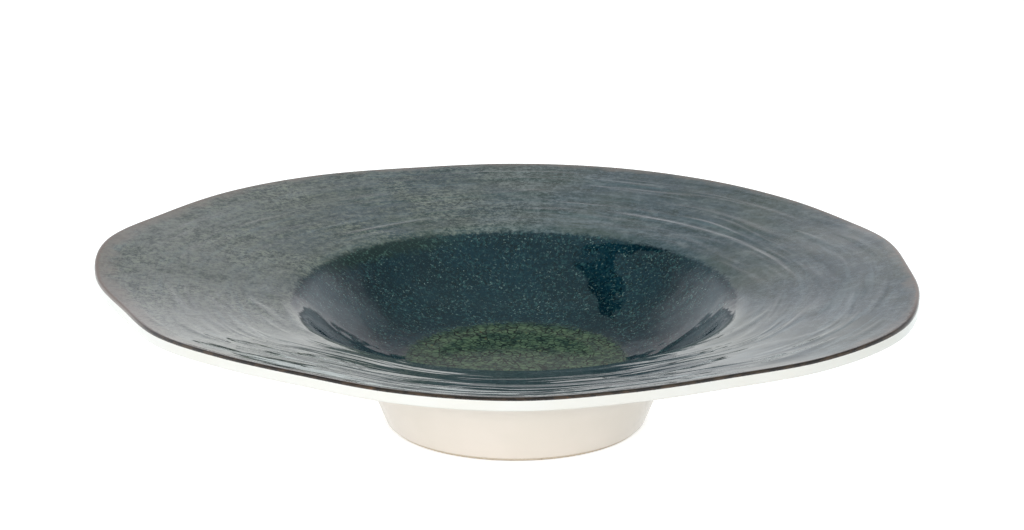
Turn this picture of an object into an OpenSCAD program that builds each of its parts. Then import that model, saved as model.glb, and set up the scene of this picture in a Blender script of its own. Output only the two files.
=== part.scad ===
// Risotto plate: a wide, waving brim round a small deep well, on a tall flared foot.
// One thrown and fired clay body carries six coats of glaze that are fused to it.
// Millimetres, +Z up. The origin is on the table, on the axis of the well and the foot.

/* [Lip] */
// Mean diameter of the plate across its lip
lip_d = 280; // [266:1:296]
// Mean height of the lip above the table
lip_h = 53.3; // [51:0.1:58]
// Thickness of the lip, from its top to its underside
lip_t = 4.8; // [4:0.1:5.6]
// How far the two corners of the lip are rounded over
lip_round = 1.1; // [0.8:0.1:1.4]
// Width of the iron-brown band on top of the lip
band_w = 2; // [1.6:0.1:4]
// How far the outline swells out of round, outwards and inwards
swell = 6; // [0:0.5:8]
// How far the lip rises and dips on its way round
lift = 4.5; // [0:0.25:5.5]

/* [Brim] */
// Thickness of the brim where it leaves the well
brim_t = 5.2; // [4.4:0.1:6]
// How far the middle of the brim arches above a straight line from the mouth to the lip
brim_arch = 0.5; // [0:0.1:1.2]
// Height of a throwing ridge on the brim, from its valley to its crest
ridge_h = 0.2; // [0:0.05:0.6]

/* [Well] */
// Diameter of the well's mouth
mouth_d = 150; // [142:1:160]
// Height of the mouth's edge above the table
mouth_h = 44.1; // [42.6:0.1:46]
// How far the rounding of the mouth runs to either side of its edge
mouth_bend = 6; // [4:0.5:8.5]
// Diameter at which the floor and the sloping wall would meet without their rounding
floor_d = 100; // [96:1:103]
// Height of the floor above the table
floor_h = 21.1; // [20:0.1:22.4]
// How far the rounding between them runs to either side
floor_bend = 24; // [20:0.5:26]
// Thickness of the well's sloping wall below the mouth
wall_t = 5.6; // [5:0.1:6.4]

/* [Foot] */
// Diameter of the glazed foot, carried down to the table
foot_d = 87.6; // [84:0.4:92]
// How far the foot's wall leans out from upright, in degrees
foot_lean = 22; // [18:0.5:25]
// Height at which the foot runs out into the underside of the well
foot_h = 20; // [17:0.5:22]
// How far the rounding there runs to either side
foot_bend = 4; // [2:0.5:6]
// Width of the flat ring that the plate rests on
ring_w = 5.2; // [4:0.2:7]
// Bevel on both edges of the resting ring
ring_bevel = 1; // [0.6:0.1:1.1]
// Thickness of the floor above the hollow foot, glaze included
floor_t = 6; // [5:0.2:7.5]
// How much the hollow foot narrows between the ring and its ceiling
hollow_draft = 1.6; // [0.4:0.2:3]
// How far the corner of the hollow's ceiling is rounded
hollow_bend = 4; // [2:0.5:6]

/* [Glaze] */
// Thickness of the glaze
glaze_t = 0.6; // [0.4:0.05:0.8]
// Depth of the glaze that has pooled in the middle of the floor
pool_t = 1.4; // [1:0.1:2]
// Height of the bare clay left above the table
bare_h = 1.4; // [1.1:0.1:2.4]

/* [Hidden] */
// directions round the plate, counted from +X towards +Y
dirs = 72;
// facets of the round hollow
$fn = 96;
// steps round a tight corner and round a wide one
corner_steps = 2;
curve_steps = 4;
// how far the cut for the hollow foot runs out below the table
overrun = 1;

// The thrown outline, every 15 degrees from +X: shares of swell, outwards positive
swell_shares = [-1.1, -1.15, -1.05, -0.55, -0.1, 0.15, 0.1, 0.1, 0.6, 0.6, 0.6, 1.15,
                0.45, -0.7, -0.55, -0.5, -0.1, 0.8, 0.65, -0.2, -0.35, 0.6, 1, -0.05];
// The lip's way up and down, every 15 degrees from +X: shares of lift, up positive
lift_shares = [0.5, 0.1, -0.5, -0.8, -0.9, -0.9, -0.85, -0.85, -0.75, -0.5, -0.35, -0.15,
               -0.35, -0.35, 0.05, 0.6, 1, 1.1, 0.85, 0.7, 0.7, 0.75, 0.85, 0.75];
// How deep the throwing ridges are pressed, every 45 degrees from +X: shares of ridge_h
press_shares = [1, 1, 0.8, 0.5, 0.6, 0.7, 0.8, 0.6];
// Crests and valleys across the brim, from the mouth to the lip: shares of ridge_h
ridge_shares = [-0.5, 0.5, -0.5, 0.5, -0.5, 0.5, -0.5];
// Where the pooled glaze starts to thin out: share of half of floor_d
pool_share = 0.35;
// Where the middle ring of the brim's underside lies: share of its length
under_share = 0.5;

// a smooth closed curve through the shares, read at direction i
function round_share(s, i) = let (n = len(s), x = i * n / dirs, j = floor(x), f = x - j,
    a = s[(j + n - 1) % n], b = s[j % n], c = s[(j + 1) % n], d = s[(j + 2) % n])
    b + f / 2 * (c - a + f * (2 * a - 5 * b + 4 * c - d + f * (3 * (b - c) + d - a)));
function unit(v) = v / norm(v);
function left_of(v) = [-v.y, v.x];
// where the line through p along a meets the line through q along b
function meet(p, a, q, b) = p + a * (left_of(b) * (q - p)) / (left_of(b) * a);
// the corner k rounded off between the directions a and b, m steps over the length s each way
function bend(k, a, b, s, m) = [for (j = [0:m]) let (t = j / m)
    k - a * s * (1 - t) * (1 - t) + b * s * t * t];

// corners of the top: edge of the floor, edge of the mouth, lip
floor_edge = [floor_d / 2, floor_h];
mouth_edge = [mouth_d / 2, mouth_h];
lip = [lip_d / 2, lip_h];
wall_dir = unit(mouth_edge - floor_edge);
brim_dir = unit(lip - mouth_edge);
// corners of the underside: edge of the lip, under the mouth, top of the foot
under_lip = [lip.x - lip_round, lip_h - lip_t];
under_dir = unit(mouth_edge - left_of(brim_dir) * brim_t - under_lip);
under_mouth = meet(under_lip, under_dir, mouth_edge - left_of(wall_dir) * wall_t, wall_dir);
foot_up = [sin(foot_lean), cos(foot_lean)];
foot_top = [foot_d / 2, 0] + foot_up * foot_h / foot_up.y;
down_dir = unit(foot_top - under_mouth);
// the hollow of the foot
ring_r = foot_d / 2 - glaze_t - ring_bevel - ring_w;
ceiling_h = floor_h - floor_t;
hollow_foot = [ring_r - ring_bevel, ring_bevel];
hollow_top = [hollow_foot.x - hollow_draft, ceiling_h];
hollow_up = unit(hollow_top - hollow_foot);

// rings of the glazed skin, from the middle of the floor out to the lip and back to the foot
pool_rings = [[0, floor_h], [floor_d / 2 * pool_share, floor_h]];
floor_bends = bend(floor_edge, [1, 0], wall_dir, floor_bend, curve_steps);
mouth_bends = bend(mouth_edge, wall_dir, brim_dir, mouth_bend, curve_steps);
band_start = lip - brim_dir * band_w;
brim_start = mouth_bends[len(mouth_bends) - 1];
brim_rings = [for (j = [1:len(ridge_shares)])
    brim_start + (band_start - brim_start) * j / (len(ridge_shares) + 1)];
lip_rings = [band_start, lip - brim_dir * lip_round, lip - [0, lip_round]];
edge_rings = [[lip.x, under_lip.y + lip_round], under_lip];
under_rings = [under_lip + (under_mouth - under_lip) * under_share];
under_bends = bend(under_mouth, under_dir, down_dir, mouth_bend, corner_steps);
foot_bends = bend(foot_top, down_dir, -foot_up, foot_bend, corner_steps);
bare_ring = [foot_d / 2, 0] + foot_up * bare_h / foot_up.y;
rings = concat(pool_rings, floor_bends, mouth_bends, brim_rings, lip_rings, edge_rings, under_rings,
    under_bends, foot_bends, [bare_ring]);
// the rings where one coat ends and the next begins: one step up the floor's rounding, halfway
// round the mouth, and at the band
pool_end = len(pool_rings) + 1;
well_end = len(pool_rings) + len(floor_bends) + curve_steps / 2;
brim_end = len(pool_rings) + len(floor_bends) + len(mouth_bends) + len(brim_rings);
band_end = brim_end + len(lip_rings) - 1;
skin_end = len(rings) - 1;

// how far out on the brim a radius lies: 0 at the mouth, 1 at the lip
function out(r) = max(0, min(1, (r - mouth_edge.x) / (lip.x - mouth_edge.x)));
// the brim waves up and down like a leaf held at the mouth, and its middle is arched
function leaf(u) = u * (4 - u) / 3;
function arch(u) = 4 * u * (1 - u);
// height of the throwing ridges on ring k in direction i
function ridge(k, i) = let (j = k - brim_end + len(brim_rings))
    j < 0 || k >= brim_end ? 0 : ridge_h * ridge_shares[j] * round_share(press_shares, i);
// the skin's direction outwards on ring k
function facing(k) = k == 0 ? [0, 1] : k == skin_end ? [1, 0]
    : unit(left_of(rings[k + 1] - rings[k - 1]));
// the clay lies under the skin by the depth of the glaze
function clay(k) = k < len(pool_rings) ? pool_t : glaze_t;
// the point on ring k in direction i, a depth t under the skin
function at(k, i, t) = let (a = 360 * i / dirs, p = rings[k] - facing(k) * t, u = out(rings[k].x),
    r = p.x + u * swell * round_share(swell_shares, i),
    z = p.y + arch(u) * brim_arch + leaf(u) * lift * round_share(lift_shares, i) + ridge(k, i))
    [r * cos(a), r * sin(a), z];
function skin_ring(k) = [for (i = [0:dirs - 1]) at(k, i, 0)];
function clay_ring(k) = [for (i = [0:dirs - 1]) at(k, i, clay(k))];
function plain_ring(r, z) = [for (i = [0:dirs - 1]) let (a = 360 * i / dirs)
    [r * cos(a), r * sin(a), z]];

// A closed skin over rings of points: the last joins the first, or both ends close on a middle point
module loft(loops, ends = []) {
    n = len(loops);
    points = concat([for (l = loops, p = l) p], ends);
    last = len(ends) ? n - 2 : n - 1;
    strips = [for (j = [0:last], i = [0:dirs - 1])
        let (k = (i + 1) % dirs, a = j * dirs, b = (j + 1) % n * dirs)
        each [[a + i, a + k, b + k], [a + i, b + k, b + i]]];
    caps = len(ends) ? [for (i = [0:dirs - 1]) let (k = (i + 1) % dirs, z = (n - 1) * dirs)
        each [[n * dirs, k, i], [z + i, z + k, n * dirs + 1]]] : [];
    polyhedron(points, concat(strips, caps), convexity = 6);
}
// A coat from ring a to ring b: the skin on top, the clay underneath
module coat(a, b) {
    loft(concat([for (k = [a:b]) skin_ring(k)], [for (k = [b:-1:a]) clay_ring(k)]));
}

// outline of the hollow's wall and ceiling, inset by the depth t, from height h up
function hollow_line(t, h) = let (side = [-hollow_up.y, hollow_up.x] * t)
    concat([hollow_foot + side + hollow_up * (h - hollow_foot.y - side.y) / hollow_up.y],
        bend(meet(hollow_foot + side, hollow_up, hollow_top - [0, t], [1, 0]), hollow_up, [-1, 0],
            hollow_bend - t, curve_steps),
        [[0, ceiling_h - t]]);

// One piece of clay: brim, well, floor and hollow foot
module ceramic_body() {
    foot_r = clay_ring(skin_end)[0].x;
    slope = foot_up.x / foot_up.y;
    color("#e9dfd0") difference() {
        loft(concat([for (k = [1:skin_end]) clay_ring(k)],
            [plain_ring(foot_r - (bare_h - ring_bevel) * slope, ring_bevel),
                plain_ring(ring_r + ring_w, 0)]), [[0, 0, floor_h - pool_t], [0, 0, 0]]);
        rotate_extrude() polygon(concat([[0, -overrun], [ring_r + overrun, -overrun]],
            hollow_line(0, ring_bevel)));
    }
}
// Streaked grey-green glaze on the brim, with its throwing ridges
module brim_glaze() { color("#6d7468") coat(well_end, brim_end); }
// Glossy deep blue glaze in the well
module well_glaze() { color("#26454f") coat(pool_end, well_end); }
// Green crackled glass, pooled on the floor of the well
module pool_glaze() {
    top = [for (k = [1:pool_end]) skin_ring(k)];
    bottom = [for (k = [pool_end:-1:1]) clay_ring(k)];
    color("#46583a") loft(concat(top, bottom), [[0, 0, floor_h], [0, 0, floor_h - pool_t]]);
}
// Iron-brown band where the glaze has run thin over the lip
module lip_band() { color("#54402f") coat(brim_end, band_end); }
// White glaze from the lip's side down the underside and the foot
module underside_glaze() { color("#f6f1e9") coat(band_end, skin_end); }
// White glaze that lines the hollow of the foot
module recess_glaze() {
    clay_line = hollow_line(0, bare_h);
    skin_line = hollow_line(glaze_t, bare_h);
    color("#efe8dc") rotate_extrude()
        polygon(concat(clay_line, [for (j = [len(skin_line) - 1:-1:0]) skin_line[j]]));
}

ceramic_body();
brim_glaze();
well_glaze();
pool_glaze();
lip_band();
underside_glaze();
recess_glaze();
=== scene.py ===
import math

import bpy
import numpy as np
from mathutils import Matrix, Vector


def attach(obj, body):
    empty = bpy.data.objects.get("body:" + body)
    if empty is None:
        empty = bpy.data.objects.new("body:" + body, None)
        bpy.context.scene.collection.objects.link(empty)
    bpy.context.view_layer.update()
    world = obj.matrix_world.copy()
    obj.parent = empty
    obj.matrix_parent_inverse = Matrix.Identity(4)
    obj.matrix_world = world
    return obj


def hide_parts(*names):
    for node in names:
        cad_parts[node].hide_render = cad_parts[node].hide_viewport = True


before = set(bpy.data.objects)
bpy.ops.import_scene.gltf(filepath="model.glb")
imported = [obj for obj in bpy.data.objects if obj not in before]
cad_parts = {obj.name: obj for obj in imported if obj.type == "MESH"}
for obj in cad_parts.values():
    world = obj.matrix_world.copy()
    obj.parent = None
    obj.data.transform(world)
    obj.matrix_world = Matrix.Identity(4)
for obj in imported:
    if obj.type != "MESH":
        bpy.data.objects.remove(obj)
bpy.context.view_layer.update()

# The clay body. One piece of pale stoneware clay, thrown on the wheel: brim, well, floor and hollow
# foot. It is bare only on the ring that the plate rests on, where the glaze was wiped away before
# the firing; everywhere else the six coats of glaze lie on it.
lip_r, lip_h, lip_t, lip_round = 0.140, 0.0533, 0.0048, 0.0011
band_w, brim_t = 0.002, 0.0052
mouth_r, mouth_h, mouth_bend = 0.075, 0.0441, 0.006
floor_r, floor_h, floor_bend, wall_t = 0.050, 0.0211, 0.024, 0.0056
foot_r, foot_lean, foot_h, foot_bend = 0.0438, math.radians(22), 0.020, 0.004
glaze_t, pool_t, bare_h = 0.0006, 0.0014, 0.0014


def left_of(v):
    """The direction a quarter turn to the left of v."""
    return np.stack([-np.asarray(v)[..., 1], np.asarray(v)[..., 0]], -1)


def unit(v):
    """v divided by its own length."""
    return v / np.linalg.norm(v, axis=-1, keepdims=True)


def meet(p, a, q, b):
    """Where the line through p along a meets the line through q along b."""
    return p + a * (left_of(b) @ (q - p)) / (left_of(b) @ a)


def straight(a, b, steps):
    """Points that divide the way from a to b into so many even steps, both ends left out."""
    return a + (b - a) * np.arange(1, steps)[:, None] / steps


def bend(corner, into, away, reach, steps):
    """A rounded corner: the quadratic curve that leaves the first side a reach before the corner
    and joins the second side a reach after it."""
    t = np.linspace(0, 1, steps + 1)[:, None]
    return corner - into * reach * (1 - t) ** 2 + away * reach * t ** 2


# corners of the top and of the underside, as radius and height
across, upward = np.array([1.0, 0.0]), np.array([0.0, 1.0])
middle, floor_edge = np.array([0.0, floor_h]), np.array([floor_r, floor_h])
mouth_edge, lip = np.array([mouth_r, mouth_h]), np.array([lip_r, lip_h])
wall_dir, brim_dir = unit(mouth_edge - floor_edge), unit(lip - mouth_edge)
band_start = lip - brim_dir * band_w
under_corner = np.array([lip_r, lip_h - lip_t])
under_lip = np.array([lip_r - lip_round, lip_h - lip_t])
under_dir = unit(mouth_edge - left_of(brim_dir) * brim_t - under_lip)
under_mouth = meet(under_lip, under_dir, mouth_edge - left_of(wall_dir) * wall_t, wall_dir)
foot_up = np.array([math.sin(foot_lean), math.cos(foot_lean)])
foot_foot = np.array([foot_r, 0.0])
foot_top = foot_foot + foot_up * foot_h / foot_up[1]
bare_top = foot_foot + foot_up * bare_h / foot_up[1]
down_dir = unit(foot_top - under_mouth)

# the line of the glazed skin: middle of the floor, well, brim, lip, underside, foot
floor_line = bend(floor_edge, across, wall_dir, floor_bend, steps=60)
mouth_line = bend(mouth_edge, wall_dir, brim_dir, mouth_bend, steps=28)
lip_line = bend(lip, brim_dir, -upward, lip_round, steps=10)
edge_line = bend(under_corner, -upward, unit(under_lip - under_corner), lip_round, steps=8)
under_line = bend(under_mouth, under_dir, down_dir, mouth_bend, steps=14)
foot_line = bend(foot_top, down_dir, -foot_up, foot_bend, steps=14)
stretches = [middle[None], straight(middle, floor_line[0], 16), floor_line,
             straight(floor_line[-1], mouth_line[0], 6), mouth_line,
             straight(mouth_line[-1], band_start, 150), band_start[None],
             straight(band_start, lip_line[0], 4), lip_line,
             straight(lip_line[-1], edge_line[0], 6), edge_line,
             straight(edge_line[-1], under_line[0], 60), under_line,
             straight(under_line[-1], foot_line[0], 10), foot_line,
             straight(foot_line[-1], bare_top, 24), bare_top[None]]
line = np.concatenate(stretches)
ends = np.cumsum([len(s) for s in stretches])
# the rings where the coats meet: a quarter of the way round the floor's bend, halfway round the
# mouth's bend, where the band starts, below the lip's bend, and at the wiped edge of the foot
pool_end = ends[1] + len(floor_line) // 4
well_end = ends[3] + len(mouth_line) // 2
brim_end, band_end, skin_end = ends[6] - 1, ends[8] - 1, len(line) - 1
brim_start, under_start = ends[4] - 1, ends[10]
# how far each ring lies along the skin from the middle of the floor, and which way it faces
run = np.concatenate([[0], np.cumsum(np.linalg.norm(np.diff(line, axis=0), axis=1))])
facing = unit(left_of(np.gradient(line, axis=0)))
facing[0], facing[-1] = upward, across

# the waves of the brim: how far it swells outwards and lifts, in even directions from the right
# round by the back. The drawn lip keeps an inset inside the true one, so that its finer curve
# stays in the box of the solid, whose flat facets cut across the waves.
dirs = 480
angle = 2 * np.pi * np.arange(dirs) / dirs
swell, lift, brim_arch, inset = 0.006, 0.0045, 0.0005, 0.0002
swell_shares = [-1.1, -1.15, -1.05, -0.55, -0.1, 0.15, 0.1, 0.1, 0.6, 0.6, 0.6, 1.15,
                0.45, -0.7, -0.55, -0.5, -0.1, 0.8, 0.65, -0.2, -0.35, 0.6, 1, -0.05]
lift_shares = [0.5, 0.1, -0.5, -0.8, -0.9, -0.9, -0.85, -0.85, -0.75, -0.5, -0.35, -0.15,
               -0.35, -0.35, 0.05, 0.6, 1, 1.1, 0.85, 0.7, 0.7, 0.75, 0.85, 0.75]


def round_share(shares):
    """A smooth closed curve through the shares, read in every direction round the plate: a
    Catmull-Rom cubic from each share to the next."""
    n, x = len(shares), np.arange(dirs) * len(shares) / dirs
    j, f = x.astype(int), x % 1
    a, b, c, d = (np.asarray(shares, float)[(j + m) % n] for m in (-1, 0, 1, 2))
    return b + f / 2 * (c - a + f * (2 * a - 5 * b + 4 * c - d + f * (3 * (b - c) + d - a)))


def out_on_brim(picked):
    """How far out the picked rings lie on the brim: nought up to the mouth, one at the lip."""
    return np.clip((line[picked, 0] - mouth_r) / (lip_r - mouth_r), 0, 1)[:, None]


def thrown_marks(rows, long, thin, seed):
    """Seeded random heights on rows of directions, smoothed by a bell curve that is long along
    the turn and thin across it, both in steps of the grid, and brought to a spread of one."""
    rough = np.random.default_rng(seed).normal(size=(rows, dirs))
    pitch = (np.fft.fftfreq(rows)[:, None] * thin) ** 2 + (np.fft.fftfreq(dirs) * long) ** 2
    smooth = np.fft.ifft2(np.fft.fft2(rough) * np.exp(-2 * np.pi ** 2 * pitch)).real
    return smooth / smooth.std()


def drifted(marks, drift):
    """The same marks after the turn has drifted to and fro: each point is read as many rows away
    as the drift says, between two rows in proportion."""
    row = np.clip(np.arange(len(marks))[:, None] + drift, 0, len(marks) - 1.001)
    low, j = row.astype(int), np.arange(dirs)
    return marks[low, j] * (1 - row + low) + marks[low + 1, j] * (row - low)


# the throwing ridges of the brim: four low grooves with three ridges between them, which wander a
# little, are pressed less in some directions, and fade out over the mouth and towards the lip.
# They are drawn half as high as in the solid, because the fine marks lie over them.
ridge_h, ridge_gaps, ridge_wander = 0.0001, 8, 0.35
mouth_fade, lip_fade = 0.6, 1.2
press_shares = [1, 1, 0.8, 0.5, 0.6, 0.7, 0.8, 0.6]
relief = np.zeros((len(line), dirs))
brim_rows = np.arange(well_end, brim_end + 1)
brim_out = out_on_brim(brim_rows)
turn = ridge_gaps * (run[brim_rows] - run[brim_start]) / (run[brim_end] - run[brim_start])
fade = np.clip(turn + mouth_fade, 0, 1) * np.clip((ridge_gaps - turn) / lip_fade, 0, 1)
wander = ridge_wander * thrown_marks(len(brim_rows), long=30, thin=40, seed=3)
ridges = np.cos(np.pi * (turn[:, None] + wander)) * ridge_h / 2 * round_share(press_shares)

# the fine raised marks of the turning, two kinds cut off at their foot, which drift to and fro.
# They stand higher at the front, and are smoothed away there next to the mouth.
mark_drift, front_gain, calm_end, calm_fade = 5, 0.45, 0.55, 0.2
flat_shares = [0, 0, 0, 0, 0, 0, 0, 0, 0, 0, 0, 0,
               0, 0, 0.1, 0.2, 0.45, 0.93, 1.08, 0.95, 0.62, 0.2, 0, 0]
calm_shares = [0, 0, 0, 0, 0, 0, 0, 0, 0, 0, 0, 0,
               0, 0, 0, 0, 0, 0.3, 0.8, 0.8, 0.3, 0, 0, 0]
marks = np.zeros((len(brim_rows), dirs))
for height, cut, long, thin, seed in ((0.000085, 0.5, 7, 3.4, 5), (0.000042, 0.4, 5, 2.1, 8)):
    marks += height * np.maximum(thrown_marks(len(brim_rows), long, thin, seed) - cut, 0)
marks = drifted(marks, mark_drift * thrown_marks(len(brim_rows), long=11, thin=12, seed=31))
marks *= 1 - np.clip((calm_end - brim_out) / calm_fade, 0, 1) * round_share(calm_shares)
marks *= 1 + front_gain * round_share(flat_shares)
relief[brim_rows] = fade[:, None] * (ridges + marks)

# at the front the middle of the brim was pressed flatter, and the mouth's edge dips with it
press_depth, mouth_dip = 0.00065, 0.0006
relief[brim_rows] -= press_depth * 4 * brim_out * (1 - brim_out) * round_share(flat_shares)
dip_rows = np.arange(pool_end, brim_end + 1)
dip = np.interp(run[dip_rows], run[[pool_end, well_end, brim_end]], [0, 1, 0])
dip = np.where(dip_rows < well_end, dip ** 2 * (3 - 2 * dip), dip)
relief[dip_rows] -= mouth_dip * dip[:, None] * round_share(flat_shares)

# three grooves with a low rim at the back right, where the finger stopped and lifted: how far out
# on the brim each lies, the degrees where it starts and ends, and its depth
groove_w, groove_fade = 0.022, 6
for at, first, last, depth in ((0.34, 3, 71, 0.00010), (0.66, 55, 76, 0.00005),
                               (0.8, 34, 53, 0.00006)):
    away = (brim_out - at) / groove_w
    held = (np.clip((np.degrees(angle) - first) / groove_fade, 0, 1)
            * np.clip((last - np.degrees(angle)) / groove_fade, 0, 1))
    relief[brim_rows] -= depth * away * np.exp(0.5 - away ** 2 / 2) * held

# faint marks of the turning on the wall of the well and on the underside, strongest in the middle
wall_mark_h, under_mark_h = 0.00003, 0.00004
wall_rows, under_rows = np.arange(pool_end, well_end), np.arange(under_start, skin_end)
wall_marks = thrown_marks(len(wall_rows), long=24, thin=7, seed=13)
under_marks = thrown_marks(len(under_rows), long=40, thin=4, seed=21)
wall_fade = np.sin(np.linspace(0, np.pi, len(wall_rows)))[:, None]
under_fade = np.sin(np.linspace(0, np.pi, len(under_rows)))[:, None] ** 0.5
relief[wall_rows] += wall_fade * wall_mark_h * wall_marks
relief[under_rows] = under_fade * under_mark_h * under_marks


def on_plate(picked, depth):
    """Points a depth under the skin on the picked rings: the mean line turned round the axis, then
    moved outwards by its share of the swell and up by its share of the lift, which grows from the
    mouth to the lip as a leaf bends that is held at the mouth. The middle of the brim is arched,
    and the relief is added."""
    p = line[picked] - facing[picked] * np.broadcast_to(depth, (len(picked),))[:, None]
    u = out_on_brim(picked)
    r = p[:, :1] + u * (swell * round_share(swell_shares) - inset)
    z = (p[:, 1:] + 4 * u * (1 - u) * brim_arch + relief[picked]
         + u * (4 - u) / 3 * (lift * round_share(lift_shares) - inset / 4))
    return np.stack([r * np.cos(angle), r * np.sin(angle), z], -1)


def turned(profile):
    """A plain profile of radius and height turned round the axis."""
    r, z = profile[:, :1], profile[:, 1:] + 0 * angle
    return np.stack([r * np.cos(angle), r * np.sin(angle), z], -1)


skin = on_plate(np.arange(len(line)), 0)
turnward = np.roll(skin, -1, 1) - np.roll(skin, 1, 1)
turnward[0] = turnward[1]
skin_normals = unit(np.cross(np.gradient(skin, axis=0), turnward))
skin_normals[0] = [0, 0, 1]
# the clay under the glaze shows nowhere, so it takes only every eighth ring and the seams
seams = [1, pool_end, well_end, brim_end, band_end, skin_end]
clay_rings = np.unique(np.concatenate([np.arange(1, skin_end, 8), seams]))
clay_depth = np.where(np.arange(len(line)) < ends[1], pool_t, glaze_t)


def clay_under(a, b):
    """The clay's own points under the skin, from ring a to ring b."""
    picked = clay_rings[(clay_rings >= a) & (clay_rings <= b)]
    return on_plate(picked, clay_depth[picked])


def fired_piece(name, rings, poles=(), skin_rows=None, skin_from=0):
    """A closed piece from rings of points: four-sided faces join each ring to the next, and the
    last ring joins the first, or both ends close on a pole. The faces between the rings of the
    skin take the skin's own normals, so that neighbouring coats shade as one surface. The run of
    each point along the skin is kept with it for the material."""
    n = len(rings)
    j = np.arange(n - 1 if len(poles) else n)[:, None] * dirs
    i = np.arange(dirs)
    k, nxt = (i + 1) % dirs, (j + dirs) % (n * dirs)
    quads = np.stack([j + i, nxt + i, nxt + k, j + k], -1).reshape(-1, 4)
    caps = np.zeros((0, 3), int)
    if len(poles):
        first_cap = np.stack([0 * i + n * dirs, i, k], -1)
        last_cap = np.stack([0 * i + n * dirs + 1, k + (n - 1) * dirs, i + (n - 1) * dirs], -1)
        caps = np.concatenate([first_cap, last_cap])
    points = np.concatenate([rings.reshape(-1, 3), np.reshape(poles, (-1, 3))])
    corners = np.concatenate([quads.ravel(), caps.ravel()])
    starts = np.concatenate([np.arange(len(quads)) * 4, len(quads) * 4 + np.arange(len(caps)) * 3])
    mesh = bpy.data.meshes.new(name)
    mesh.vertices.add(len(points))
    mesh.vertices.foreach_set("co", points.astype(np.float32).ravel())
    mesh.loops.add(len(corners))
    mesh.loops.foreach_set("vertex_index", corners.astype(np.int32))
    mesh.polygons.add(len(starts))
    mesh.polygons.foreach_set("loop_start", starts.astype(np.int32))
    mesh.polygons.foreach_set("use_smooth", np.ones(len(starts), bool))
    mesh.update(calc_edges=True)
    mesh.validate()
    if skin_rows is not None:
        rows = np.arange(skin_from, skin_from + skin_rows)
        runs = np.full(len(points), run[rows[-1]], np.float32)
        runs[:skin_rows * dirs] = np.repeat(run[rows], dirs)
        mesh.attributes.new("run", "FLOAT", "POINT").data.foreach_set("value", runs)
        own = np.zeros((len(corners), 3))
        shown = (skin_rows - 1) * dirs * 4
        own[:shown] = skin_normals[rows].reshape(-1, 3)[corners[:shown]]
        mesh.normals_split_custom_set(own.tolist())
    piece = bpy.data.objects.new(name, mesh)
    bpy.context.scene.collection.objects.link(piece)
    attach(piece, "root")
    return piece


# the ring that the plate stands on and the hollow inside it, which the glaze leaves exact
ring_w, ring_bevel, floor_t = 0.0052, 0.001, 0.006
hollow_draft, hollow_bend = 0.0016, 0.004
ring_r = foot_r - glaze_t - ring_bevel - ring_w
ceiling_h = floor_h - floor_t
hollow_foot = np.array([ring_r - ring_bevel, ring_bevel])
hollow_top = np.array([hollow_foot[0] - hollow_draft, ceiling_h])
hollow_up = unit(hollow_top - hollow_foot)


def hollow_line(depth, height):
    """The hollow's wall and ceiling from that height up to the middle, a depth off the clay: two
    straight lines joined by a rounded corner."""
    start = hollow_foot + left_of(hollow_up) * depth
    start = start + hollow_up * (height - start[1]) / hollow_up[1]
    corner = meet(start, hollow_up, hollow_top - upward * depth, across)
    curve = bend(corner, hollow_up, -across, hollow_bend - depth, steps=12)
    return np.concatenate([start[None], straight(start, curve[0], 8), curve,
                           straight(curve[-1], np.array([0, ceiling_h - depth]), 12)])


clay_foot = bare_top - facing[skin_end] * glaze_t
ring_out, ring_in = np.array([ring_r + ring_w, 0.0]), np.array([ring_r, 0.0])
clay_wall = clay_foot - foot_up * (bare_h - ring_bevel) / foot_up[1]
ring_corner = meet(clay_foot, foot_up, ring_out, across)
inner_corner = ring_in - across * ring_bevel / 2
ring_line = np.concatenate([
    straight(clay_foot, clay_wall, 4),
    bend(ring_corner, -foot_up, -across, ring_bevel, steps=8),
    straight(ring_out, ring_in, 8),
    bend(inner_corner, -across, hollow_up, ring_bevel / 2, steps=8)])
body_line = np.concatenate([ring_line, hollow_line(0, ring_bevel)[1:]])


def paint(code):
    """A colour written as it looks, such as 46583a, turned into the linear values of a shader."""
    shown = np.array([int(code[m:m + 2], 16) for m in (0, 2, 4)]) / 255
    linear = np.where(shown <= 0.04045, shown / 12.92, ((shown + 0.055) / 1.055) ** 2.4)
    return (*linear.tolist(), 1.0)


def add(tree, kind, *inputs, **settings):
    """A node of that kind. Each input is a number, a colour or the output of another node, in the
    order of its sockets; None leaves a socket alone. A name with its first letter large is a
    socket, and any other name is a setting."""
    made = tree.nodes.new(kind)
    for name in [s for s in settings if s[0].islower()]:
        setattr(made, name, settings.pop(name))
    wanted = [(made.inputs[m], value) for m, value in enumerate(inputs) if value is not None]
    wanted += [(made.inputs[name.replace("_", " ")], value) for name, value in settings.items()]
    for socket, value in wanted:
        if isinstance(value, bpy.types.NodeSocket):
            tree.links.new(value, socket)
        else:
            socket.default_value = value
    return made


def math_of(tree, operation, a, b=None):
    """One sum on one or two numbers."""
    return add(tree, "ShaderNodeMath", a, b, operation=operation).outputs[0]


def step_up(tree, value, low, high, bottom=0.0, top=1.0):
    """A soft step: bottom while the value is short of low, top once it is past high."""
    return add(tree, "ShaderNodeMapRange", value, low, high, bottom, top,
               interpolation_type="SMOOTHSTEP").outputs[0]


def mixed(tree, share, a, b):
    """Colour a, and colour b where the share is one."""
    skipped = [None] * 5
    return add(tree, "ShaderNodeMix", share, *skipped, a, b, data_type="RGBA").outputs[2]


def place(tree):
    """The point's own place on the plate, in metres."""
    return add(tree, "ShaderNodeTexCoord").outputs["Object"]


def cloud(tree, where, size, detail=3.0, rough=0.5):
    """Soft random blotches of about that size, in metres, from nought to one."""
    return add(tree, "ShaderNodeTexNoise", where, Scale=1 / size, Detail=detail,
               Roughness=rough).outputs[0]


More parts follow.
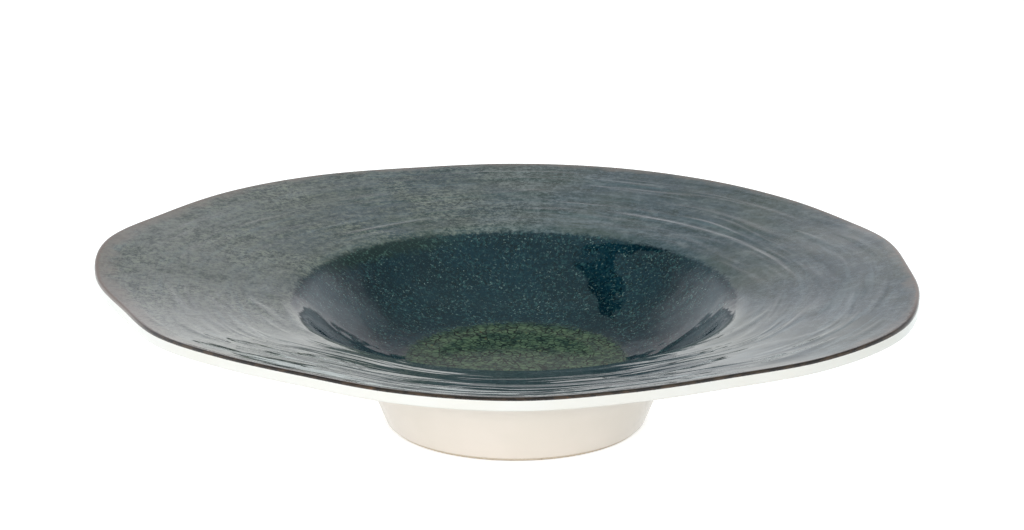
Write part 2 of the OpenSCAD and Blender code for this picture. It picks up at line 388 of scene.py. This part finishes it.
def bumped(tree, height, top):
    """The shading of a relief that rises to the top, in metres, where its height is one."""
    return add(tree, "ShaderNodeBump", Strength=1.0, Distance=top, Height=height).outputs[0]


def material(name, tree_maker, **constants):
    """A material with one Principled shader: the maker returns the sockets that vary, and the
    constants are set on the shader itself."""
    made = bpy.data.materials.new(name)
    made.use_nodes = True
    tree = made.node_tree
    shader = tree.nodes["Principled BSDF"]
    for socket, value in constants.items():
        shader.inputs[socket.replace("_", " ")].default_value = value
    for socket, value in tree_maker(tree).items():
        tree.links.new(value, shader.inputs[socket])
    return made


def bare_clay(tree):
    """Warm pale clay with fine grog: light and dark grains, and a sandy surface."""
    dark_clay, pale_clay, grog = paint("d3c4ae"), paint("e4d8c6"), paint("a88d70")
    where = place(tree)
    grain = cloud(tree, where, size=0.0004, detail=4.0, rough=0.7)
    specks = step_up(tree, cloud(tree, where, size=0.0011, detail=2.0), 0.68, 0.74)
    colour = mixed(tree, step_up(tree, grain, 0.35, 0.65), dark_clay, pale_clay)
    return {"Base Color": mixed(tree, specks, colour, grog),
            "Normal": bumped(tree, grain, top=0.00006),
            "Roughness": step_up(tree, grain, 0.3, 0.7, 0.75, 0.95)}


clay_body = fired_piece("clay_body", np.concatenate([clay_under(1, skin_end), turned(body_line)]),
                        [[0, 0, floor_h - pool_t], [0, 0, ceiling_h]])
clay_body.data.materials.append(material("bare_clay", bare_clay, IOR=1.45))
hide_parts("ceramic_body")


# The pooled glass. The glaze has run down and gathered on the floor of the well, about twice as
# deep as elsewhere. It is clear olive green, and has crackled into a fine net as it cooled.
def crackled_green(tree, where):
    """Olive glass between dark green cracks, which follow the borders of random cells that are
    bent out of shape by a little noise, with a few rusty grains of iron."""
    deep_glass, milky_glass = paint("2c4137"), paint("5a6e54")
    crack_green, iron = paint("0a1812"), paint("6a4a2a")
    crook = 0.0008
    noise = add(tree, "ShaderNodeTexNoise", where, Scale=700.0, Detail=2.0).outputs[1]
    bent = add(tree, "ShaderNodeVectorMath", noise, (crook,) * 3, where,
               operation="MULTIPLY_ADD").outputs[0]
    cells = add(tree, "ShaderNodeTexVoronoi", bent, Scale=430.0, feature="DISTANCE_TO_EDGE")
    inside = step_up(tree, cells.outputs[0], 0.02, 0.16)
    milky = cloud(tree, where, size=0.0032, detail=5.0, rough=0.7)
    glass = mixed(tree, step_up(tree, milky, 0.38, 0.62), deep_glass, milky_glass)
    depth = cloud(tree, where, size=0.0045, detail=4.0, rough=0.65)
    crack = math_of(tree, "MULTIPLY", math_of(tree, "SUBTRACT", 1.0, inside),
                    step_up(tree, depth, 0.40, 0.60, 0.5, 1.0))
    colour = mixed(tree, crack, glass, crack_green)
    grains = cloud(tree, where, size=0.0016, detail=1.0)
    return mixed(tree, step_up(tree, grains, 0.74, 0.80), colour, iron)


def deep_blue(tree, where):
    """Deep teal glaze with soft darker clouds, and a fine grain of nearly black, teal and pale
    green specks that lies thick in some places and thinner in others."""
    dark_teal, teal = paint("06202a"), paint("0a2b36")
    dark_speck, teal_speck, pale_speck = paint("061418"), paint("2d4f50"), paint("7d948e")
    blotch = cloud(tree, where, size=0.020)
    colour = mixed(tree, step_up(tree, blotch, 0.35, 0.65), dark_teal, teal)
    crowd = cloud(tree, where, size=0.011, detail=4.0, rough=0.6)
    crowded = step_up(tree, crowd, 0.38, 0.62, 0.45, 1.0)
    for size, low, high, speck in ((0.0012, 0.50, 0.40, dark_speck),
                                   (0.0013, 0.51, 0.66, teal_speck),
                                   (0.0009, 0.57, 0.73, pale_speck)):
        grain = cloud(tree, where, size, rough=0.7)
        share = math_of(tree, "MULTIPLY", step_up(tree, grain, low, high, 0.0, 0.95), crowded)
        colour = mixed(tree, share, colour, speck)
    return colour


def skin_run(tree):
    """How far along the skin a point lies from the middle of the floor, in metres."""
    return add(tree, "ShaderNodeAttribute", attribute_name="run").outputs["Fac"]


def ragged(tree, where, value, at, width, size, reach):
    """A soft step of that width where the value passes a mark, moved to and fro, within the
    reach, by blotches of that size."""
    blotch = cloud(tree, where, size, detail=4.0, rough=0.65)
    shift = math_of(tree, "MULTIPLY", math_of(tree, "SUBTRACT", blotch, 0.5), reach)
    return step_up(tree, math_of(tree, "ADD", value, shift), at - width / 2, at + width / 2)


def past_pool(tree, where):
    """Nought in the pool and one on the wall, with a border that runs in and out."""
    return ragged(tree, where, skin_run(tree), run[pool_end],
                  width=0.004, size=0.0016, reach=0.014)


def pooled_glass(tree):
    """Crackled green in the pool, and the blue of the wall where it runs in from the side."""
    where = place(tree)
    colour = mixed(tree, past_pool(tree, where), crackled_green(tree, where),
                   deep_blue(tree, where))
    ripple = cloud(tree, where, size=0.004, detail=2.0)
    return {"Base Color": colour, "Normal": bumped(tree, ripple, top=0.00004)}


pool = fired_piece(
    "pooled_glass", np.concatenate([skin[1:pool_end + 1], clay_under(1, pool_end)[::-1]]),
    [[0, 0, floor_h], [0, 0, floor_h - pool_t]], pool_end, 1)
pool.data.materials.append(material("crackled_green_glass", pooled_glass, Roughness=0.10, IOR=1.5,
                                    Specular_IOR_Level=0.14))
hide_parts("pool_glaze")


# The glaze in the well. It is the deepest blue, because it lies thick on the sloping wall, and it
# breaks to grey green where it thins over the rounded edge of the mouth.
def rolled(tree, where, long, thin):
    """Coordinates for marks that lie along the turn: the direction from the axis counts once per
    long, at the middle of the brim, and the radius once per thin, both in metres."""
    brim_middle_r = 0.11
    flat = add(tree, "ShaderNodeVectorMath", where, (1, 1, 0), operation="MULTIPLY").outputs[0]
    radius = add(tree, "ShaderNodeVectorMath", flat, operation="LENGTH").outputs["Value"]
    heading = add(tree, "ShaderNodeVectorMath", flat, operation="NORMALIZE").outputs[0]
    around = add(tree, "ShaderNodeVectorMath", heading, (brim_middle_r / long,) * 3,
                 operation="MULTIPLY").outputs[0]
    out = add(tree, "ShaderNodeCombineXYZ", 0.0, 0.0, math_of(tree, "MULTIPLY", radius, 1 / thin))
    return add(tree, "ShaderNodeVectorMath", around, out.outputs[0], operation="ADD").outputs[0]


def streaks(tree, where, long, thin, detail, rough):
    """Soft random streaks along the turn, of that length and that thickness in metres."""
    return cloud(tree, rolled(tree, where, long, thin), 1.0, detail, rough)


def distance_to(tree, where, spot):
    """How far a point lies from a spot on the plate, in metres."""
    return add(tree, "ShaderNodeVectorMath", where, spot, operation="DISTANCE").outputs["Value"]


def grey_green(tree, where):
    """The mottled glaze of the brim: slate and olive clouds of two sizes, paler at the left; blue
    grey veils that are drawn out along the turn; and pale and dark specks of three grains, beige
    and strong at the left, blue grey and faint at the right."""
    slate, olive, left_grey = paint("435258"), paint("4f5954"), paint("7b7c79")
    pale_cloud, dark_cloud = paint("737b7b"), paint("34413c")
    pale_veil, dark_veil = paint("6f7d82"), paint("37454a")
    blue_speck, beige_speck, dark_speck = paint("7a848a"), paint("868a7e"), paint("2f3d3a")
    side = add(tree, "ShaderNodeSeparateXYZ", where).outputs[0]
    blotch = cloud(tree, where, size=0.040, rough=0.6)
    colour = mixed(tree, step_up(tree, blotch, 0.38, 0.62), slate, olive)
    colour = mixed(tree, step_up(tree, side, -0.035, -0.130), colour, left_grey)
    mottle = cloud(tree, where, size=0.0075, detail=5.0, rough=0.7)
    colour = mixed(tree, step_up(tree, mottle, 0.50, 0.66, 0.0, 0.55), colour, pale_cloud)
    colour = mixed(tree, step_up(tree, mottle, 0.50, 0.34, 0.0, 0.60), colour, dark_cloud)
    veil = streaks(tree, where, long=0.045, thin=0.0034, detail=4.0, rough=0.55)
    veiled = step_up(tree, cloud(tree, where, size=0.060, detail=2.0), 0.42, 0.58, 0.15, 0.48)
    pale = math_of(tree, "MULTIPLY", step_up(tree, veil, 0.50, 0.66), veiled)
    dark = math_of(tree, "MULTIPLY", step_up(tree, veil, 0.48, 0.34), veiled)
    colour = mixed(tree, pale, colour, pale_veil)
    colour = mixed(tree, dark, colour, dark_veil)
    strong = step_up(tree, cloud(tree, where, size=0.028, detail=2.0), 0.40, 0.60, 0.50, 1.0)
    strong = math_of(tree, "MULTIPLY", strong, step_up(tree, side, 0.07, -0.03, 0.3, 1.0))
    pale_speck = mixed(tree, step_up(tree, side, 0.04, -0.04), blue_speck, beige_speck)
    coarse = cloud(tree, where, size=0.0026, rough=0.7)
    drawn = streaks(tree, where, long=0.0050, thin=0.0016, detail=3.0, rough=0.7)
    fine = cloud(tree, where, size=0.0012, detail=2.0, rough=0.8)
    for grain, share in ((coarse, 0.75), (drawn, 0.50), (fine, 0.60)):
        light = math_of(tree, "MULTIPLY", step_up(tree, grain, 0.52, 0.62, 0.0, share), strong)
        shade = math_of(tree, "MULTIPLY", step_up(tree, grain, 0.48, 0.38, 0.0, share), strong)
        colour = mixed(tree, light, colour, pale_speck)
        colour = mixed(tree, shade, colour, dark_speck)
    return colour


def mouth_grain(tree, where, colour):
    """The colour with dark green glass and pale green flecks laid over it, gathered under the
    mouth's edge round a spot at the back left."""
    green_glass, pale_fleck, spot = paint("10221e"), paint("4a665b"), (-0.048, 0.056, 0.043)
    inner = ragged(tree, where, skin_run(tree), run[well_end] - 0.0050,
                   width=0.004, size=0.003, reach=0.010)
    outer = ragged(tree, where, skin_run(tree), run[well_end] + 0.0015,
                   width=0.003, size=0.003, reach=0.008)
    near = step_up(tree, distance_to(tree, where, spot), 0.040, 0.014, 0.0, 0.85)
    flecks = cloud(tree, where, size=0.0014, rough=0.7)
    grain = mixed(tree, step_up(tree, flecks, 0.52, 0.70), green_glass, pale_fleck)
    share = math_of(tree, "MULTIPLY", inner, math_of(tree, "SUBTRACT", 1.0, outer))
    return mixed(tree, math_of(tree, "MULTIPLY", share, near), colour, grain)


def past_mouth(tree, where):
    """Nought in the well and one on the brim, with a border that runs in and out."""
    return ragged(tree, where, skin_run(tree), run[well_end] + 0.0005,
                  width=0.0025, size=0.0016, reach=0.006)


def well_blue(tree):
    """Deep blue on the wall, green pool at its foot and the brim's grey at the mouth."""
    where = place(tree)
    colour = mixed(tree, past_pool(tree, where), crackled_green(tree, where),
                   deep_blue(tree, where))
    colour = mixed(tree, past_mouth(tree, where), colour, grey_green(tree, where))
    ripple = cloud(tree, where, size=0.010, detail=1.5)
    return {"Base Color": mouth_grain(tree, where, colour),
            "Normal": bumped(tree, ripple, top=0.00034)}


well = fired_piece(
    "well_glaze_coat",
    np.concatenate([skin[pool_end:well_end + 1], clay_under(pool_end, well_end)[::-1]]),
    (), well_end - pool_end + 1, pool_end)
well.data.materials.append(material("deep_blue_glaze", well_blue, Roughness=0.06, IOR=1.5))
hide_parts("well_glaze")


# The glaze on the brim. It was poured over the throwing ridges and has run in streaks along them:
# grey green all over, thicker and darker at the front, and a mauve brown towards the lip.
def iron_brown(tree, where):
    """The thin glaze at the lip: nearly black brown, with rusty flecks along the turn."""
    black_brown, brown, rust = paint("241c18"), paint("463629"), paint("7c4d2a")
    flecks = streaks(tree, where, long=0.004, thin=0.0010, detail=3.0, rough=0.6)
    colour = mixed(tree, step_up(tree, flecks, 0.40, 0.62), black_brown, brown)
    return mixed(tree, step_up(tree, flecks, 0.64, 0.76), colour, rust)


def brim_colour(tree, where):
    """Blue at the mouth and grey green beyond, with thick dark glaze round a spot at the front, a
    mauve veil near the lip, which is wider at the left, and the lip's edge: brown with rusty
    flecks at the front, and plain mauve at the back."""
    thick_glass, mauve_veil, mauve_edge = paint("1f2d30"), paint("857a73"), paint("7f7069")
    thick_spot = (0.016, -0.125, 0.055)
    side, back, _ = add(tree, "ShaderNodeSeparateXYZ", where).outputs
    colour = mixed(tree, past_mouth(tree, where), deep_blue(tree, where), grey_green(tree, where))
    colour = mouth_grain(tree, where, colour)
    thin = ragged(tree, where, distance_to(tree, where, thick_spot), 0.050,
                  width=0.080, size=0.012, reach=0.030)
    thick = math_of(tree, "MULTIPLY", math_of(tree, "SUBTRACT", 1.0, thin), 0.60)
    colour = mixed(tree, thick, colour, thick_glass)
    wider = step_up(tree, side, -0.085, -0.125, 0.0, 0.003)
    mauve = ragged(tree, where, math_of(tree, "ADD", skin_run(tree), wider),
                   run[brim_end] - 0.0005, width=0.006, size=0.009, reach=0.014)
    colour = mixed(tree, math_of(tree, "MULTIPLY", mauve, 0.65), colour, mauve_veil)
    at_edge = ragged(tree, where, skin_run(tree), run[brim_end] + 0.0005,
                     width=0.0008, size=0.0018, reach=0.004)
    at_front = step_up(tree, back, -0.035, -0.068)
    edge = mixed(tree, at_front, mauve_edge, iron_brown(tree, where))
    return mixed(tree, at_edge, colour, edge)


def streaked_brim(tree):
    """The brim's colours, with fine ripples along the turn and a slightly uneven gloss."""
    where = place(tree)
    ripple = streaks(tree, where, long=0.022, thin=0.0030, detail=2.0, rough=0.5)
    return {"Base Color": brim_colour(tree, where),
            "Normal": bumped(tree, ripple, top=0.00003),
            "Roughness": step_up(tree, cloud(tree, where, size=0.003), 0.3, 0.7, 0.02, 0.05)}


brim = fired_piece(
    "brim_glaze_coat",
    np.concatenate([skin[well_end:brim_end + 1], clay_under(well_end, brim_end)[::-1]]),
    (), brim_end - well_end + 1, well_end)
brim.data.materials.append(material("streaked_brim_glaze", streaked_brim, IOR=1.5))
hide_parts("brim_glaze")


# The band on the lip. Here the glaze ran thin over the rounded edge, and the iron in it burnt to a
# dark brown line with rusty flecks. It ends where the white glaze of the side begins.
def burnt_band(tree):
    """The brim's own colours, which are nearly all brown this far out, duller towards the side."""
    where = place(tree)
    pits = cloud(tree, where, size=0.0012)
    return {"Base Color": brim_colour(tree, where),
            "Normal": bumped(tree, pits, top=0.000006),
            "Roughness": step_up(tree, skin_run(tree), run[brim_end], run[band_end], 0.04, 0.26)}


band = fired_piece(
    "lip_band_coat",
    np.concatenate([skin[brim_end:band_end + 1], clay_under(brim_end, band_end)[::-1]]),
    (), band_end - brim_end + 1, brim_end)
band.data.materials.append(material("burnt_lip_band", burnt_band, IOR=1.5))
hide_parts("lip_band")


# The glaze on the underside. A plain white glaze covers the side of the lip, the back of the brim
# and the foot, down to a wiped edge just above the table. It is a little creamier on the foot.
def white_glaze(tree):
    """White with a warm tint that grows down the foot, and faint clouds."""
    lip_white, foot_cream, cloud_cream = paint("efeae4"), paint("f6ece1"), paint("ece4d7")
    where = place(tree)
    height = add(tree, "ShaderNodeSeparateXYZ", where).outputs[2]
    colour = mixed(tree, step_up(tree, height, 0.034, 0.012), lip_white, foot_cream)
    tint = step_up(tree, cloud(tree, where, size=0.02), 0.35, 0.65, 0.0, 0.35)
    return {"Base Color": mixed(tree, tint, colour, cloud_cream),
            "Normal": bumped(tree, cloud(tree, where, size=0.005), top=0.00006),
            "Roughness": step_up(tree, cloud(tree, where, size=0.004), 0.3, 0.7, 0.14, 0.26)}


white = material("white_glaze", white_glaze, IOR=1.5)
underside = fired_piece(
    "underside_glaze_coat",
    np.concatenate([skin[band_end:], clay_under(band_end, skin_end)[::-1]]),
    (), skin_end - band_end + 1, band_end)
underside.data.materials.append(white)
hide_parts("underside_glaze")

# The glaze in the hollow of the foot. The same white glaze lines the wall and the ceiling of the
# hollow, and stops short of the ring that the plate stands on.
lining = np.concatenate([hollow_line(0, bare_h)[::-1], hollow_line(glaze_t, bare_h)])
recess = fired_piece("recess_glaze_lining", turned(lining),
                     [[0, 0, ceiling_h], [0, 0, ceiling_h - glaze_t]])
recess.data.materials.append(white)
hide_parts("recess_glaze")

# The studio's table. It is white and runs back into a white horizon, keeps the plate's shadow, and
# is clear from below, so that the foot can be looked at.
half, table_white, table_glow = 12.0, (0.9, 0.895, 0.885, 1), 0.6
floor_mesh = bpy.data.meshes.new("studio_floor")
floor_mesh.from_pydata([(-half, -half, 0), (half, -half, 0), (half, half, 0), (-half, half, 0)],
                       [], [(0, 1, 2, 3)])
studio_floor = bpy.data.objects.new("studio_floor", floor_mesh)
bpy.context.scene.collection.objects.link(studio_floor)
floor_paint = bpy.data.materials.new("white_table")
floor_paint.use_nodes = True
tree = floor_paint.node_tree
tree.nodes.remove(tree.nodes["Principled BSDF"])
table_rays = add(tree, "ShaderNodeLightPath").outputs
plain = add(tree, "ShaderNodeBsdfDiffuse", table_white)
glow = add(tree, "ShaderNodeEmission", (1, 1, 1, 1), table_glow)
lit = add(tree, "ShaderNodeAddShader", plain.outputs[0], glow.outputs[0])
mirrored = math_of(tree, "MAXIMUM", table_rays["Is Glossy Ray"], table_rays["Is Transmission Ray"])
seen = math_of(tree, "MAXIMUM", table_rays["Is Camera Ray"], mirrored)
from_above = add(tree, "ShaderNodeMixShader", seen, plain.outputs[0], lit.outputs[0])
below = add(tree, "ShaderNodeNewGeometry").outputs["Backfacing"]
clear = add(tree, "ShaderNodeBsdfTransparent")
table = add(tree, "ShaderNodeMixShader", below, from_above.outputs[0], clear.outputs[0])
tree.links.new(table.outputs[0], tree.nodes["Material Output"].inputs[0])
floor_mesh.materials.append(floor_paint)

# The studio's ceiling, which only the glaze mirrors; the picture's own background stays white. It
# is a curved grey cloth, bright at the horizon and dim above: each stop has its rise and colour.
black, white_light, panel_light = (0, 0, 0, 1), (1, 1, 1, 1), (0.92, 1.0, 1.06, 1)
world = bpy.data.worlds.new("studio")
bpy.context.scene.world = world
world.use_nodes = True
tree = world.node_tree
heading = add(tree, "ShaderNodeTexCoord").outputs["Generated"]
aside, ahead, rise = add(tree, "ShaderNodeSeparateXYZ", heading).outputs
ceiling = add(tree, "ShaderNodeValToRGB", rise)
stops = ceiling.color_ramp.elements
stops[0].position, stops[0].color = 0.06, (1, 1, 1, 1)
stops[1].position, stops[1].color = 0.86, (0.36, 0.50, 0.51, 1)
for stop_rise, tone in ((0.20, (0.79, 0.775, 0.81)), (0.30, (0.53, 0.515, 0.54)),
                        (0.40, (0.345, 0.34, 0.355)), (0.46, (0.28, 0.285, 0.295)),
                        (0.60, (0.215, 0.265, 0.27)), (0.78, (0.26, 0.35, 0.355))):
    stops.new(stop_rise).color = (*tone, 1)

# two pale panels, one on each side, which the left and the right wall of the well mirror
panel_from, panel_full, panel_top, panel_low = 0.22, 0.52, 0.72, 0.40
to_side = math_of(tree, "ABSOLUTE", aside)
panel = math_of(tree, "MULTIPLY", step_up(tree, to_side, panel_from, panel_full),
                step_up(tree, rise, panel_top, panel_low))
studio = mixed(tree, panel, ceiling.outputs[0], panel_light)

# a dark gap in the left half of the ceiling, which the glaze on the far wall of the well mirrors
# as a wedge: its left edge slants in towards the back until the two edges meet
gap_right, gap_left, gap_slant, gap_soft = 0.35, 0.65, 0.27, 0.01
right_by = math_of(tree, "DIVIDE", aside, rise)
back_by = math_of(tree, "DIVIDE", ahead, rise)
past_right = math_of(tree, "ADD", right_by, gap_right)
past_left = math_of(tree, "SUBTRACT", math_of(tree, "ADD", right_by, gap_left),
                    math_of(tree, "MULTIPLY", back_by, gap_slant))
wedge = math_of(tree, "MULTIPLY", step_up(tree, past_right, gap_soft, -gap_soft),
                step_up(tree, past_left, -gap_soft, gap_soft))
overhead = math_of(tree, "MULTIPLY", step_up(tree, rise, 0.3, 0.4),
                   step_up(tree, back_by, -0.2, 0.0))
studio = mixed(tree, math_of(tree, "MULTIPLY", wedge, overhead), studio, black)

# a low dark screen behind the plate, out of the picture, which the front of the brim mirrors: its
# top falls away to both sides
screen_top, screen_soft, screen_slant, screen_shift = 0.035, 0.003, 0.6, 0.045
sideways = math_of(tree, "ADD", math_of(tree, "DIVIDE", aside, ahead), screen_shift)
fall = math_of(tree, "MULTIPLY", math_of(tree, "ABSOLUTE", sideways), screen_slant)
screen = step_up(tree, math_of(tree, "ADD", rise, fall), screen_top + screen_soft,
                 screen_top - screen_soft)
behind = math_of(tree, "GREATER_THAN", ahead, 0.0)
studio = mixed(tree, math_of(tree, "MULTIPLY", screen, behind), studio, black)
by_camera = add(tree, "ShaderNodeLightPath").outputs["Is Camera Ray"]
sky = mixed(tree, by_camera, studio, white_light)
tree.links.new(sky, tree.nodes["Background"].inputs[0])

# The lamps and the camera. Two soft lamps that the glaze doesn't mirror, one above and one low in
# front for the foot, and a long lens a little above the plate.
lit_point = Vector((0, 0, 0.03))
for name, stand, size, power in (("lamp_above", (-0.6, 0.3, 2.2), 2.4, 27.5),
                                 ("lamp_front", (-0.38, -2.2, 0.42), 1.0, 20.0)):
    lamp = bpy.data.lights.new(name, "AREA")
    lamp.size, lamp.energy = size, power
    holder = bpy.data.objects.new(name, lamp)
    bpy.context.scene.collection.objects.link(holder)
    holder.location = stand
    holder.visible_glossy = False
    holder.rotation_euler = (lit_point - Vector(stand)).to_track_quat("-Z", "Y").to_euler()

tilt, distance, aim = math.radians(17.68), 2.0, (-0.00121, 0.0, 0.0553)
lens = bpy.data.cameras.new("camera")
lens.sensor_width, lens.lens = 36.0, 207.3
camera = bpy.data.objects.new("camera", lens)
bpy.context.scene.collection.objects.link(camera)
camera.location = (aim[0], aim[1] - distance * math.cos(tilt), aim[2] + distance * math.sin(tilt))
camera.rotation_euler = (math.pi / 2 - tilt, 0, 0)
bpy.context.scene.camera = camera
bpy.context.scene.view_settings.view_transform = "Standard"
